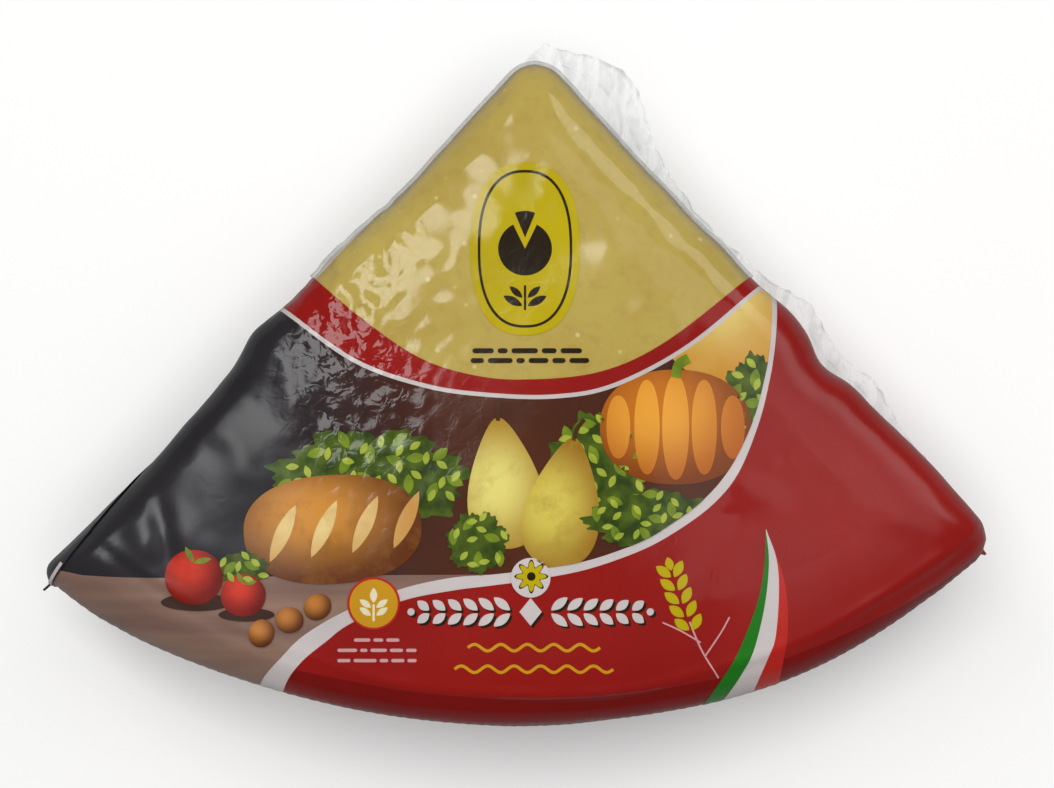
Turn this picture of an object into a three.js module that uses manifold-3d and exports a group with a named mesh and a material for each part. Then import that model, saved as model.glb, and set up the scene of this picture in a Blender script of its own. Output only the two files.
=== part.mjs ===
// A wedge of hard cheese, an eighth of a wheel, sealed in shrunk film. It lies on its cut face.
// Millimetres, +Z up. The apex points to +Y and the curved rind side to -Y, and the origin is
// under the middle of the bounding box. The filled film is one closed body: wedge and seal fin.
import * as THREE from 'three';
import { mergeVertices } from 'three/addons/utils/BufferGeometryUtils.js';
import Module from 'manifold-3d';

// driving dimensions
const PACK_HEIGHT = 105; // half of a wheel's height
const WHEEL_RADIUS = 210; // apex to the widest line of the rind side
const SECTOR_ANGLE = 86; // degrees between the two cut sides
const SIDE_WIDEST = 80; // height of the widest line of the cut sides
const RIND_WIDEST = 88; // height of the widest line of the rind side
const APEX_ROUND = 10; // corner radii seen from above
const RIGHT_CORNER_ROUND = 10;
const LEFT_CORNER_ROUND = 4;
const SIDE_SHOULDER = 34; // how far the cut sides' rounded shoulder reaches into the top face
const RIND_CREASE_INSET = 9.5; // from the widest line in to the crease where the rind side starts
const RIND_CREASE_DROP = 2.5; // the crease lies this far under the top face
const BASE_SHOULDER = 9; // how far the sides tuck in down to the resting face
const CORNER_PULL = 12; // the left corner is drawn out this far
const CREASE_TURN = 40; // degrees of an ellipse that the rind side has turned in at the crease
const SHOULDER_SQUARE = 0.55; // 1 is an elliptical shoulder, less is squarer
const BASE_SQUARE = 0.5;
const FIN_HEIGHT = 60; // height at which the flat seal leaves the right side
const FIN_THICKNESS = 1.2;
const FIN_WIDTH = 5; // the seal past the virtual edge of the right side, before its swells
const FIN_START = -2; // a little past the apex
const FIN_END = WHEEL_RADIUS - 4;
const FIN_ROOT = 14; // how deep it starts inside the filled wedge
const APEX_FIN_ROOT = 4;
const FIN_DROOP = 0.12;

// soft waves of the film and of the cheese under it
const SWELL_DEPTH = 30; // how far in from a side its swells fade out
const LIFT_HEIGHT = 46; // the waves grow up to this height, from none on the resting face
const SIDE_RIPPLE = 0.4;
const RIND_RIPPLE = 0.7;
const FACE_RIPPLE = 0.7;
const FIN_RIPPLE = 0.6;
const FIN_WAVE = 1.4;

// uneven stretches: place along the side as a share of the radius, reach as a share, and height
const LEFT_SWELLS = [[0.22, 0.12, -1.3], [0.42, 0.08, 1.5], [0.59, 0.045, 3], [0.84, 0.1, -2.3]];
const RIGHT_SWELLS = [
  [0.2, 0.12, -0.9],
  [0.4, 0.03, 0.6],
  [0.55, 0.04, 1.2],
  [0.635, 0.035, -2.6],
  [0.82, 0.08, 1.2],
];
const FIN_SWELLS = [[0.12, 0.09, 14], [0.56, 0.06, 6], [0.71, 0.05, 4], [0.95, 0.12, -3.5]];

// points along each stretch of the outline, and rings up each part of the profile
const APEX_STEPS = 10;
const SIDE_STEPS = 32;
const CORNER_STEPS = 8;
const ARC_STEPS = 48;
const BASE_RINGS = 5;
const SHOULDER_RINGS = 9;
const CREASE_RING = 6;
const FACE_RINGS = 6;
const FIN_STEPS = 48;
const FIN_ROWS = 4;
const FACE_MIDDLE = [0, -0.6 * WHEEL_RADIUS];
const WELD = 0.02;

const HALF_ANGLE = THREE.MathUtils.degToRad(SECTOR_ANGLE / 2);
const SIN_HALF = Math.sin(HALF_ANGLE);
const COS_HALF = Math.cos(HALF_ANGLE);

const mix = (from, to, share) => from + (to - from) * share;
const smooth = (low, high, value) => THREE.MathUtils.smoothstep(value, low, high);
const swell = (place, middle, reach) => Math.exp(-(((place - middle) / reach) ** 2));
const swells = (list, share) => list
  .reduce((sum, [middle, reach, height]) => sum + height * swell(share, middle, reach), 0);

// Points on a round stretch about a centre, between two compass angles (radians from -Y to +X).
function roundStretch(centre, radius, fromAngle, toAngle, steps) {
  const points = [];
  for (let step = 0; step < steps; step += 1) {
    const angle = mix(fromAngle, toAngle, step / steps);
    points.push([centre[0] + radius * Math.sin(angle), centre[1] - radius * Math.cos(angle)]);
  }
  return points;
}

function straightStretch(from, to, steps) {
  const points = [];
  for (let step = 0; step < steps; step += 1) {
    points.push([mix(from[0], to[0], step / steps), mix(from[1], to[1], step / steps)]);
  }
  return points;
}

// The sector with rounded corners, its sides moved in by sideInset and its rind by rindInset.
// Runs from the apex down the right side, back along the rind and up the left side.
function sectorOutline(sideInset, rindInset) {
  const radius = WHEEL_RADIUS - rindInset;
  const sideAngle = HALF_ANGLE + Math.PI / 2;
  const corner = (hand, round) => {
    const fromSide = sideInset + round;
    const along = Math.sqrt((radius - round) ** 2 - fromSide ** 2);
    const x = hand * (along * SIN_HALF - fromSide * COS_HALF);
    const y = -along * COS_HALF - fromSide * SIN_HALF;
    return { centre: [x, y], angle: Math.atan2(x, -y), round };
  };
  const onSide = ({ centre, round }, hand) => [
    centre[0] + hand * round * COS_HALF,
    centre[1] + round * SIN_HALF,
  ];
  const apex = { centre: [0, -(sideInset + APEX_ROUND) / SIN_HALF], round: APEX_ROUND };
  const right = corner(1, RIGHT_CORNER_ROUND);
  const left = corner(-1, LEFT_CORNER_ROUND);
  return [
    ...roundStretch(apex.centre, apex.round, 2 * Math.PI - sideAngle, sideAngle, APEX_STEPS),
    ...straightStretch(onSide(apex, 1), onSide(right, 1), SIDE_STEPS),
    ...roundStretch(right.centre, right.round, sideAngle, right.angle, CORNER_STEPS),
    ...roundStretch([0, 0], radius, right.angle, left.angle, ARC_STEPS),
    ...roundStretch(left.centre, left.round, left.angle, -sideAngle, CORNER_STEPS),
    ...straightStretch(onSide(left, -1), onSide(apex, -1), SIDE_STEPS),
  ];
}

// 0 on the two cut sides and 1 on the rind, for each point of the outline.
function rindShares() {
  const shares = [];
  const sideEnd = APEX_STEPS + SIDE_STEPS;
  const arcStart = sideEnd + CORNER_STEPS;
  const arcEnd = arcStart + ARC_STEPS;
  const total = arcEnd + CORNER_STEPS + SIDE_STEPS;
  for (let place = 0; place < total; place += 1) {
    shares.push(smooth(sideEnd, arcStart, place) - smooth(arcEnd, arcEnd + CORNER_STEPS, place));
  }
  return shares;
}

// Rings of the side wall and shoulders, from the resting face up to the flat of the top face.
function profileRings() {
  const rings = [];
  for (let ring = 0; ring <= BASE_RINGS; ring += 1) {
    const turn = (ring / BASE_RINGS) * (Math.PI / 2);
    const inset = BASE_SHOULDER * (1 - Math.sin(turn) ** BASE_SQUARE);
    const climb = 1 - Math.cos(turn) ** BASE_SQUARE;
    rings.push({
      sideInset: inset,
      rindInset: inset,
      sideHeight: SIDE_WIDEST * climb,
      rindHeight: RIND_WIDEST * climb,
    });
  }
  const sideRise = PACK_HEIGHT - SIDE_WIDEST;
  const rindRise = PACK_HEIGHT - RIND_CREASE_DROP - RIND_WIDEST;
  const creaseTurn = THREE.MathUtils.degToRad(CREASE_TURN);
  for (let ring = 1; ring <= SHOULDER_RINGS; ring += 1) {
    const turn = (ring / SHOULDER_RINGS) * (Math.PI / 2);
    const rindTurn = Math.min(1, ring / CREASE_RING) * creaseTurn;
    const pastCrease = Math.max(0, ring - CREASE_RING) / (SHOULDER_RINGS - CREASE_RING);
    const bend = (1 - Math.cos(rindTurn)) / (1 - Math.cos(creaseTurn));
    const climb = Math.sin(rindTurn) / Math.sin(creaseTurn);
    rings.push({
      sideInset: SIDE_SHOULDER * (1 - Math.cos(turn) ** SHOULDER_SQUARE),
      sideHeight: SIDE_WIDEST + sideRise * Math.sin(turn) ** SHOULDER_SQUARE,
      rindInset: RIND_CREASE_INSET * bend + (SIDE_SHOULDER - RIND_CREASE_INSET) * pastCrease,
      rindHeight: RIND_WIDEST + rindRise * climb
        + RIND_CREASE_DROP * (1 - (1 - pastCrease) ** 2),
    });
  }
  return rings;
}

// The uneven shape of a packed cheese: swollen sides, a drawn-out left corner, a wavy top face.
function settle(x, y, z) {
  const reach = Math.hypot(x, y) / WHEEL_RADIUS;
  const angle = Math.atan2(x, -y);
  const lift = smooth(0, LIFT_HEIGHT, z);
  const right = x * COS_HALF + y * SIN_HALF;
  const left = -x * COS_HALF + y * SIN_HALF;
  const near = (distance) => swell(distance, 0, SWELL_DEPTH) * lift;
  const leftSwell = near(left)
    * (swells(LEFT_SWELLS, reach) + SIDE_RIPPLE * Math.sin(19 * reach + z / 21));
  const rightSwell = near(right)
    * (swells(RIGHT_SWELLS, reach) + SIDE_RIPPLE * Math.sin(16 * reach + z / 17));
  const pull = CORNER_PULL * smooth(0.1, HALF_ANGLE, -angle) * smooth(0.7, 1, reach);
  const rindRipple = RIND_RIPPLE * Math.sin(11 * angle + z / 25) * smooth(0.9, 1, reach);
  const outward = (pull + rindRipple) * lift;
  const faceRipple = FACE_RIPPLE * Math.sin(x / 23 + 1) * Math.sin(y / 29)
    * smooth(0.8, 1, z / PACK_HEIGHT);
  return [
    x - leftSwell * COS_HALF + rightSwell * COS_HALF + outward * Math.sin(angle),
    y + (leftSwell + rightSwell) * SIN_HALF - outward * Math.cos(angle),
    z + faceRipple,
  ];
}

// A closed surface from rings of equal length: quads between rings and a fan at each end.
function loft(rings, lowMiddle, highMiddle) {
  const count = rings[0].length;
  const positions = rings.flat(2);
  const index = [];
  for (let ring = 0; ring + 1 < rings.length; ring += 1) {
    for (let place = 0; place < count; place += 1) {
      const next = (place + 1) % count;
      const low = ring * count;
      const high = low + count;
      index.push(low + place, high + next, low + next);
      index.push(low + place, high + place, high + next);
    }
  }
  const lowFan = positions.length / 3;
  const highFan = lowFan + 1;
  const lastRing = (rings.length - 1) * count;
  positions.push(...lowMiddle, ...highMiddle);
  for (let place = 0; place < count; place += 1) {
    const next = (place + 1) % count;
    index.push(lowFan, place, next);
    index.push(highFan, lastRing + next, lastRing + place);
  }
  return closedGeometry(positions, index);
}

function closedGeometry(positions, index) {
  const geometry = new THREE.BufferGeometry();
  geometry.setAttribute('position', new THREE.Float32BufferAttribute(positions, 3));
  geometry.setIndex(index);
  return geometry;
}

function filledWedge() {
  const shares = rindShares();
  const rings = profileRings().map((ring) => sectorOutline(ring.sideInset, ring.rindInset)
    .map(([x, y], place) => {
      const height = mix(ring.sideHeight, ring.rindHeight, shares[place]);
      return settle(x, y, height);
    }));
  const [middleX, middleY] = FACE_MIDDLE;
  const flatEdge = sectorOutline(SIDE_SHOULDER, SIDE_SHOULDER);
  for (let ring = 1; ring < FACE_RINGS; ring += 1) {
    const share = ring / FACE_RINGS;
    rings.push(flatEdge.map(([x, y]) => settle(
      mix(x, middleX, share),
      mix(y, middleY, share),
      PACK_HEIGHT,
    )));
  }
  return loft(rings, [middleX, middleY, 0], settle(middleX, middleY, PACK_HEIGHT));
}

// A thin wavy plate over a grid: place(u, v) gives the middle surface for u and v from 0 to 1.
function thinPlate(place, thickness, alongSteps, acrossSteps) {
  const positions = [];
  const index = [];
  const row = acrossSteps + 1;
  const layer = (alongSteps + 1) * row;
  for (const side of [-1, 1]) {
    for (let along = 0; along <= alongSteps; along += 1) {
      for (let across = 0; across <= acrossSteps; across += 1) {
        const [x, y, z] = place(along / alongSteps, across / acrossSteps);
        positions.push(x, y, z + (side * thickness) / 2);
      }
    }
  }
  const quad = (a, b, c, d) => index.push(a, b, c, a, c, d);
  for (let along = 0; along < alongSteps; along += 1) {
    for (let across = 0; across < acrossSteps; across += 1) {
      const low = along * row + across;
      quad(low, low + 1, low + row + 1, low + row);
      quad(low + layer, low + layer + row, low + layer + row + 1, low + layer + 1);
    }
  }
  const rim = [];
  for (let along = 0; along < alongSteps; along += 1) rim.push(along * row);
  for (let across = 0; across < acrossSteps; across += 1) rim.push(alongSteps * row + across);
  for (let along = alongSteps; along > 0; along -= 1) rim.push(along * row + acrossSteps);
  for (let across = acrossSteps; across > 0; across -= 1) rim.push(across);
  rim.forEach((low, corner) => {
    const next = rim[(corner + 1) % rim.length];
    quad(low, next, next + layer, low + layer);
  });
  return closedGeometry(positions, index);
}

// The clear seal along the right side, wide past the apex and along its middle.
function sealFin() {
  return thinPlate((u, v) => {
    const along = mix(FIN_START, FIN_END, u);
    const share = along / WHEEL_RADIUS;
    const width = FIN_WIDTH + swells(FIN_SWELLS, share) + FIN_RIPPLE * Math.sin(31 * share);
    const root = mix(APEX_FIN_ROOT, FIN_ROOT, smooth(0, 0.12, share));
    const out = mix(-root, width, v);
    const wave = FIN_WAVE * Math.sin(26 * share) * Math.sqrt(Math.max(0, out / FIN_WIDTH));
    return [
      along * SIN_HALF + out * COS_HALF,
      -along * COS_HALF + out * SIN_HALF,
      FIN_HEIGHT + wave - FIN_DROOP * Math.max(0, out),
    ];
  }, FIN_THICKNESS, FIN_STEPS, FIN_ROWS);
}

const manifold = await Module();
manifold.setup();

function toSolid(geometry) {
  geometry.deleteAttribute('normal');
  geometry.deleteAttribute('uv');
  const merged = mergeVertices(geometry, 1e-4);
  return new manifold.Manifold(new manifold.Mesh({
    numProp: 3,
    vertProperties: new Float32Array(merged.attributes.position.array),
    triVerts: new Uint32Array(merged.index.array),
  }));
}

// Points closer than WELD are made one, and triangles that lose a side to that are dropped.
function weld(geometry) {
  const merged = mergeVertices(geometry, WELD);
  const corners = merged.index.array;
  const kept = [];
  for (let first = 0; first < corners.length; first += 3) {
    const [a, b, c] = corners.slice(first, first + 3);
    if (a !== b && b !== c && c !== a) kept.push(a, b, c);
  }
  merged.setIndex(kept);
  merged.computeVertexNormals();
  return merged;
}

function toGeometry(solid) {
  const mesh = solid.getMesh();
  const geometry = new THREE.BufferGeometry();
  geometry.setAttribute('position', new THREE.BufferAttribute(mesh.vertProperties, 3));
  geometry.setIndex(new THREE.BufferAttribute(mesh.triVerts, 1));
  return geometry;
}

function sealedPack() {
  const solid = toSolid(filledWedge()).add(toSolid(sealFin()));
  const joined = toGeometry(solid);
  joined.computeBoundingBox();
  const middle = joined.boundingBox.getCenter(new THREE.Vector3());
  joined.translate(-middle.x, -middle.y, -joined.boundingBox.min.z);
  const geometry = weld(joined);
  const printedFilm = new THREE.MeshStandardMaterial({
    color: 0xa51f1c,
    roughness: 0.25,
    metalness: 0,
  });
  const mesh = new THREE.Mesh(geometry, printedFilm);
  mesh.name = 'wedge_pack';
  return mesh;
}

const group = new THREE.Group();
group.add(sealedPack());

export default group;
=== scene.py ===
"""A wedge of hard cheese sealed in shrunk printed film, lying on its cut face.

The filled film is made first, as one closed body with the frame's own named sizes. The cheese is that
body a little smaller. The film is a thin closed skin round it, cut into the fields of its print, and the
finer print lies on it in thinner layers. The clear seal, the loose clear film, the fold at the left
corner and the ears of film are added last.
Shape functions work in millimetres, and every mesh is in metres.
"""
import math

import bmesh
import bpy
import numpy as np
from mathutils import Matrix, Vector, noise


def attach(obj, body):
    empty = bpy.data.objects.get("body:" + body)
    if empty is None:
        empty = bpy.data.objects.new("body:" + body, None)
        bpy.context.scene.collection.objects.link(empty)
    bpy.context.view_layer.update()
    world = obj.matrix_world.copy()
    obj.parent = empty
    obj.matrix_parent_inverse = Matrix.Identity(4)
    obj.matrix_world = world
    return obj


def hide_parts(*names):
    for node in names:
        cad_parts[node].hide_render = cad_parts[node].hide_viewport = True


MM = 0.001

# the wedge's driving dimensions, in millimetres, as in the frame
PACK_HEIGHT = 105
WHEEL_RADIUS = 210
HALF_ANGLE = math.radians(86 / 2)
SIDE_WIDEST = 80
RIND_WIDEST = 88
APEX_ROUND = 10
RIGHT_CORNER_ROUND = 10
LEFT_CORNER_ROUND = 4
SIDE_SHOULDER = 34
RIND_CREASE_INSET = 9.5
RIND_CREASE_DROP = 2.5
BASE_SHOULDER = 9
CORNER_PULL = 12
CREASE_TURN = math.radians(40)
SHOULDER_SQUARE = 0.55
BASE_SQUARE = 0.5
FIN_HEIGHT = 60
FIN_WIDTH = 5
FIN_START = -2
FIN_END = WHEEL_RADIUS - 4
FIN_ROOT = 14
APEX_FIN_ROOT = 4
FIN_DROOP = 0.12
SWELL_DEPTH = 30
LIFT_HEIGHT = 46
SIDE_RIPPLE = 0.4
RIND_RIPPLE = 0.7
FACE_RIPPLE = 0.7
FIN_RIPPLE = 0.6
FIN_WAVE = 1.4
# place along the side and reach as shares of the radius, and height
LEFT_SWELLS = [(0.22, 0.12, -1.3), (0.42, 0.08, 1.5), (0.59, 0.045, 3), (0.84, 0.1, -2.3)]
RIGHT_SWELLS = [
    (0.2, 0.12, -0.9),
    (0.4, 0.03, 0.6),
    (0.55, 0.04, 1.2),
    (0.635, 0.035, -2.6),
    (0.82, 0.08, 1.2),
]
FIN_SWELLS = [(0.12, 0.09, 14), (0.56, 0.06, 6), (0.71, 0.05, 4), (0.95, 0.12, -3.5)]
FACE_MIDDLE = (0, -0.6 * WHEEL_RADIUS)

# the mesh, and the layers on the cheese
FINE = 3
APEX_STEPS = 10 * FINE
SIDE_STEPS = 32 * FINE
CORNER_STEPS = 8 * FINE
ARC_STEPS = 48 * FINE
BASE_RINGS = 5 * FINE
SHOULDER_RINGS = 9 * FINE
CREASE_RING = 6 * FINE
FACE_RINGS = 6 * FINE
VOXEL = 1.4
EVEN_OUT = 6
CHEESE_INSET = 0.3
FILM_THICKNESS = 0.2
INK_THICKNESS = 0.08

SIN_HALF = math.sin(HALF_ANGLE)
COS_HALF = math.cos(HALF_ANGLE)


def select_only(thing):
    for other in bpy.context.selected_objects:
        other.select_set(False)
    thing.select_set(True)
    bpy.context.view_layer.objects.active = thing


def apply_modifier(thing, kind, **settings):
    select_only(thing)
    modifier = thing.modifiers.new(kind.lower(), kind)
    for name, value in settings.items():
        setattr(modifier, name, value)
    bpy.ops.object.modifier_apply(modifier=modifier.name)


def copy_of(thing, name):
    twin = thing.copy()
    twin.data = thing.data.copy()
    twin.name = name
    bpy.context.scene.collection.objects.link(twin)
    return twin


def points_of(thing):
    points = np.empty(len(thing.data.vertices) * 3)
    thing.data.vertices.foreach_get("co", points)
    return points.reshape(-1, 3)


def normals_of(thing):
    normals = np.empty(len(thing.data.vertices) * 3)
    thing.data.vertices.foreach_get("normal", normals)
    return normals.reshape(-1, 3)


def place_points(thing, points):
    thing.data.vertices.foreach_set("co", np.asarray(points, float).ravel())
    thing.data.update()


def smooth(low, high, value):
    share = np.clip((value - low) / (high - low), 0, 1)
    return share * share * (3 - 2 * share)


def swell(place, middle, reach):
    return np.exp(-(((place - middle) / reach) ** 2))


def swells(rows, share):
    return sum(height * swell(share, middle, reach) for middle, reach, height in rows)


# ---- the filled wedge


def round_stretch(centre, radius, start, end, steps):
    """Points round a centre between two compass angles, from -Y towards +X."""
    turns = [start + (end - start) * step / steps for step in range(steps)]
    return [(centre[0] + radius * math.sin(t), centre[1] - radius * math.cos(t)) for t in turns]


def straight_stretch(start, end, steps):
    shares = [step / steps for step in range(steps)]
    return [tuple(a + (b - a) * share for a, b in zip(start, end)) for share in shares]


def sector_outline(side_inset, rind_inset):
    """The sector with round corners, its sides and its rind moved in, from the apex down the right."""
    radius = WHEEL_RADIUS - rind_inset
    side_angle = HALF_ANGLE + math.pi / 2

    def corner(hand, rounding):
        from_side = side_inset + rounding
        along = math.sqrt((radius - rounding) ** 2 - from_side**2)
        x = hand * (along * SIN_HALF - from_side * COS_HALF)
        y = -along * COS_HALF - from_side * SIN_HALF
        side_point = (x + hand * rounding * COS_HALF, y + rounding * SIN_HALF)
        return (x, y), math.atan2(x, -y), side_point

    apex = (0, -(side_inset + APEX_ROUND) / SIN_HALF)
    apex_right = (APEX_ROUND * COS_HALF, apex[1] + APEX_ROUND * SIN_HALF)
    apex_left = (-apex_right[0], apex_right[1])
    right, right_angle, right_side = corner(1, RIGHT_CORNER_ROUND)
    left, left_angle, left_side = corner(-1, LEFT_CORNER_ROUND)
    return [
        *round_stretch(apex, APEX_ROUND, 2 * math.pi - side_angle, side_angle, APEX_STEPS),
        *straight_stretch(apex_right, right_side, SIDE_STEPS),
        *round_stretch(right, RIGHT_CORNER_ROUND, side_angle, right_angle, CORNER_STEPS),
        *round_stretch((0, 0), radius, right_angle, left_angle, ARC_STEPS),
        *round_stretch(left, LEFT_CORNER_ROUND, left_angle, -side_angle, CORNER_STEPS),
        *straight_stretch(left_side, apex_left, SIDE_STEPS),
    ]


def rind_shares():
    """0 on the cut sides and 1 on the rind, for each point of the outline."""
    side_end = APEX_STEPS + SIDE_STEPS
    arc_start = side_end + CORNER_STEPS
    arc_end = arc_start + ARC_STEPS
    places = np.arange(arc_end + CORNER_STEPS + SIDE_STEPS)
    return smooth(side_end, arc_start, places) - smooth(arc_end, arc_end + CORNER_STEPS, places)


def profile_rings():
    """Insets and heights of the rings from the resting face up to the flat of the top face."""
    rings = []
    for ring in range(BASE_RINGS + 1):
        turn = ring / BASE_RINGS * math.pi / 2
        inset = BASE_SHOULDER * (1 - math.sin(turn) ** BASE_SQUARE)
        climb = 1 - max(0, math.cos(turn)) ** BASE_SQUARE
        rings.append((inset, SIDE_WIDEST * climb, inset, RIND_WIDEST * climb))
    side_rise = PACK_HEIGHT - SIDE_WIDEST
    rind_rise = PACK_HEIGHT - RIND_CREASE_DROP - RIND_WIDEST
    for ring in range(1, SHOULDER_RINGS + 1):
        turn = ring / SHOULDER_RINGS * math.pi / 2
        rind_turn = min(1, ring / CREASE_RING) * CREASE_TURN
        past_crease = max(0, ring - CREASE_RING) / (SHOULDER_RINGS - CREASE_RING)
        bend = (1 - math.cos(rind_turn)) / (1 - math.cos(CREASE_TURN))
        climb = math.sin(rind_turn) / math.sin(CREASE_TURN)
        rings.append((
            SIDE_SHOULDER * (1 - max(0, math.cos(turn)) ** SHOULDER_SQUARE),
            SIDE_WIDEST + side_rise * math.sin(turn) ** SHOULDER_SQUARE,
            RIND_CREASE_INSET * bend + (SIDE_SHOULDER - RIND_CREASE_INSET) * past_crease,
            RIND_WIDEST + rind_rise * climb + RIND_CREASE_DROP * (1 - (1 - past_crease) ** 2),
        ))
    return rings


def settle(points):
    """The uneven shape of a packed cheese: swollen sides, a drawn-out left corner, a wavy top face."""
    x, y, z = points.T
    reach = np.hypot(x, y) / WHEEL_RADIUS
    angle = np.arctan2(x, -y)
    lift = smooth(0, LIFT_HEIGHT, z)
    right = x * COS_HALF + y * SIN_HALF
    left = -x * COS_HALF + y * SIN_HALF
    left_swell = swell(left, 0, SWELL_DEPTH) * lift
    left_swell = left_swell * (swells(LEFT_SWELLS, reach) + SIDE_RIPPLE * np.sin(19 * reach + z / 21))
    right_swell = swell(right, 0, SWELL_DEPTH) * lift
    right_swell = right_swell * (swells(RIGHT_SWELLS, reach) + SIDE_RIPPLE * np.sin(16 * reach + z / 17))
    pull = CORNER_PULL * smooth(0.1, HALF_ANGLE, -angle) * smooth(0.7, 1, reach)
    rind_ripple = RIND_RIPPLE * np.sin(11 * angle + z / 25) * smooth(0.9, 1, reach)
    outward = (pull + rind_ripple) * lift
    face_ripple = FACE_RIPPLE * np.sin(x / 23 + 1) * np.sin(y / 29) * smooth(0.8, 1, z / PACK_HEIGHT)
    return np.column_stack([
        x + (right_swell - left_swell) * COS_HALF + outward * np.sin(angle),
        y + (left_swell + right_swell) * SIN_HALF - outward * np.cos(angle),
        z + face_ripple,
    ])


def wedge_rings():
    """Rings of points, from the middle of the resting face to the middle of the top face."""
    shares = rind_shares()
    rings = []
    for side_inset, side_height, rind_inset, rind_height in profile_rings():
        flat = np.array(sector_outline(side_inset, rind_inset))
        heights = side_height + (rind_height - side_height) * shares
        rings.append(np.column_stack([flat, heights]))
    inner = rings[-1].copy()
    inner[:, 2] = PACK_HEIGHT
    middle = np.array([*FACE_MIDDLE, PACK_HEIGHT])
    for ring in range(1, FACE_RINGS + 1):
        rings.append(inner + (middle - inner) * ring / FACE_RINGS)
    low_middle = np.tile([*FACE_MIDDLE, 0], (len(shares), 1))
    return [low_middle, *rings]


def fin_point(u, v, root=None):
    """Places on the middle surface of the seal: u runs along the side, v from its root outwards."""
    along = FIN_START + (FIN_END - FIN_START) * u
    share = along / WHEEL_RADIUS
    width = FIN_WIDTH + swells(FIN_SWELLS, share) + FIN_RIPPLE * np.sin(31 * share)
    if root is None:
        root = APEX_FIN_ROOT + (FIN_ROOT - APEX_FIN_ROOT) * smooth(0, 0.12, share)
    out = -root + (width + root) * v
    wave = FIN_WAVE * np.sin(26 * share) * np.sqrt(np.maximum(0, out / FIN_WIDTH))
    return np.column_stack([
        along * SIN_HALF + out * COS_HALF,
        -along * COS_HALF + out * SIN_HALF,
        FIN_HEIGHT + wave - FIN_DROOP * np.maximum(0, out),
    ])


def grid_shares(across, up):
    """Adds a grid and returns it with the shares of each point across and up it."""
    bpy.ops.object.select_all(action="DESELECT")
    bpy.ops.mesh.primitive_grid_add(x_subdivisions=across, y_subdivisions=up, size=2)
    grid = bpy.context.object
    corners = points_of(grid)
    return grid, (corners[:, 0] + 1) / 2, (corners[:, 1] + 1) / 2


def frame_shift(rings):
    """Moves the virtual apex from the origin to its place in the frame, as the frame's box is centred."""
    edge = np.linspace(0, 1, 200)
    fin_edge = fin_point(edge, np.ones_like(edge))
    everything = np.vstack([*rings, fin_edge])
    middle = (everything.min(0) + everything.max(0)) / 2
    return np.array([-middle[0], -middle[1], 0])


def filled_body(rings, shift):
    """The wedge as one closed, evenly meshed body."""
    count = len(rings[0])
    body, across, up = grid_shares(count, len(rings) - 1)
    body.name = "filled_body"
    columns = np.rint(across * count).astype(int) % count
    rows = np.rint(up * (len(rings) - 1)).astype(int)
    place_points(body, (np.array(rings)[rows, columns] + shift) * MM)
    select_only(body)
    bpy.ops.object.mode_set(mode="EDIT")
    bpy.ops.mesh.select_all(action="SELECT")
    bpy.ops.mesh.remove_doubles(threshold=0.01 * MM)
    bpy.ops.mesh.normals_make_consistent(inside=False)
    bpy.ops.object.mode_set(mode="OBJECT")
    apply_modifier(body, "REMESH", mode="VOXEL", voxel_size=VOXEL * MM)
    apply_modifier(body, "SMOOTH", factor=0.5, iterations=EVEN_OUT)
    return body


# ---- the film's creases

# the wrinkled patch of film on the left of the window and of the band, in the frame, in millimetres
PATCH_MIDDLE = (-52, 21)
PATCH_REACH = (21, 43)
MARGIN_REACH = 46
MARGIN_LUMP = 0.3
FACE_LUMP = 0.05
PATCH_CREASE = 0.38
PLEAT_PITCH = 3.5
PLEAT_DEPTH = 0.08
RIND_BEAD = 0.5
# start, end, width and height of single creases in the film, negative where it is drawn in
CREASES = [
    ((-119, -44), (-134, -58), 2.2, 0.45),
    ((-111, -36), (-105.5, -61), 3.4, -0.8),
    ((-117, -40), (-113, -60), 4.5, 0.4),
    ((-92, -17), (-76, -40), 5.0, 0.5),
    ((-74, 5), (-66, -18), 4.0, 0.45),
    ((-60, 22), (-52, 2), 2.2, 0.35),
    ((-52, 33), (-44, 14), 2.0, 0.3),
    ((-44, 44), (-40, 30), 2.0, -0.3),
    ((64, -34), (78, -40), 3.5, 0.4),
    ((60, -45), (70, -44), 3.0, -0.35),
    ((84, -20), (98, -34), 5.0, 0.4),
    ((108, -42), (124, -50), 4.0, 0.45),
    ((96, 8), (104, -6), 3.0, 0.4),
    ((118, -62), (136, -52), 2.5, 0.4),
]


def along_crease(points, start, end, width, height):
    """A soft ridge over a straight line seen from above, fading out at its ends."""
    start = np.array(start)
    run = np.array(end) - start
    length = np.hypot(*run)
    offset = points[:, :2] - start
    share = np.clip(offset @ run / length**2, 0, 1)
    away = np.hypot(*(offset - share[:, None] * run).T)
    return height * swell(away, 0, width) * np.sin(math.pi * np.clip(share, 0.06, 0.94)) ** 0.6


def noise_at(points, scale, seed):
    shift = Vector((17.3 * seed, 5.1 * seed, 2.7 * seed))
    return np.array([noise.noise(Vector(point) / scale + shift) for point in points])


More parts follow.
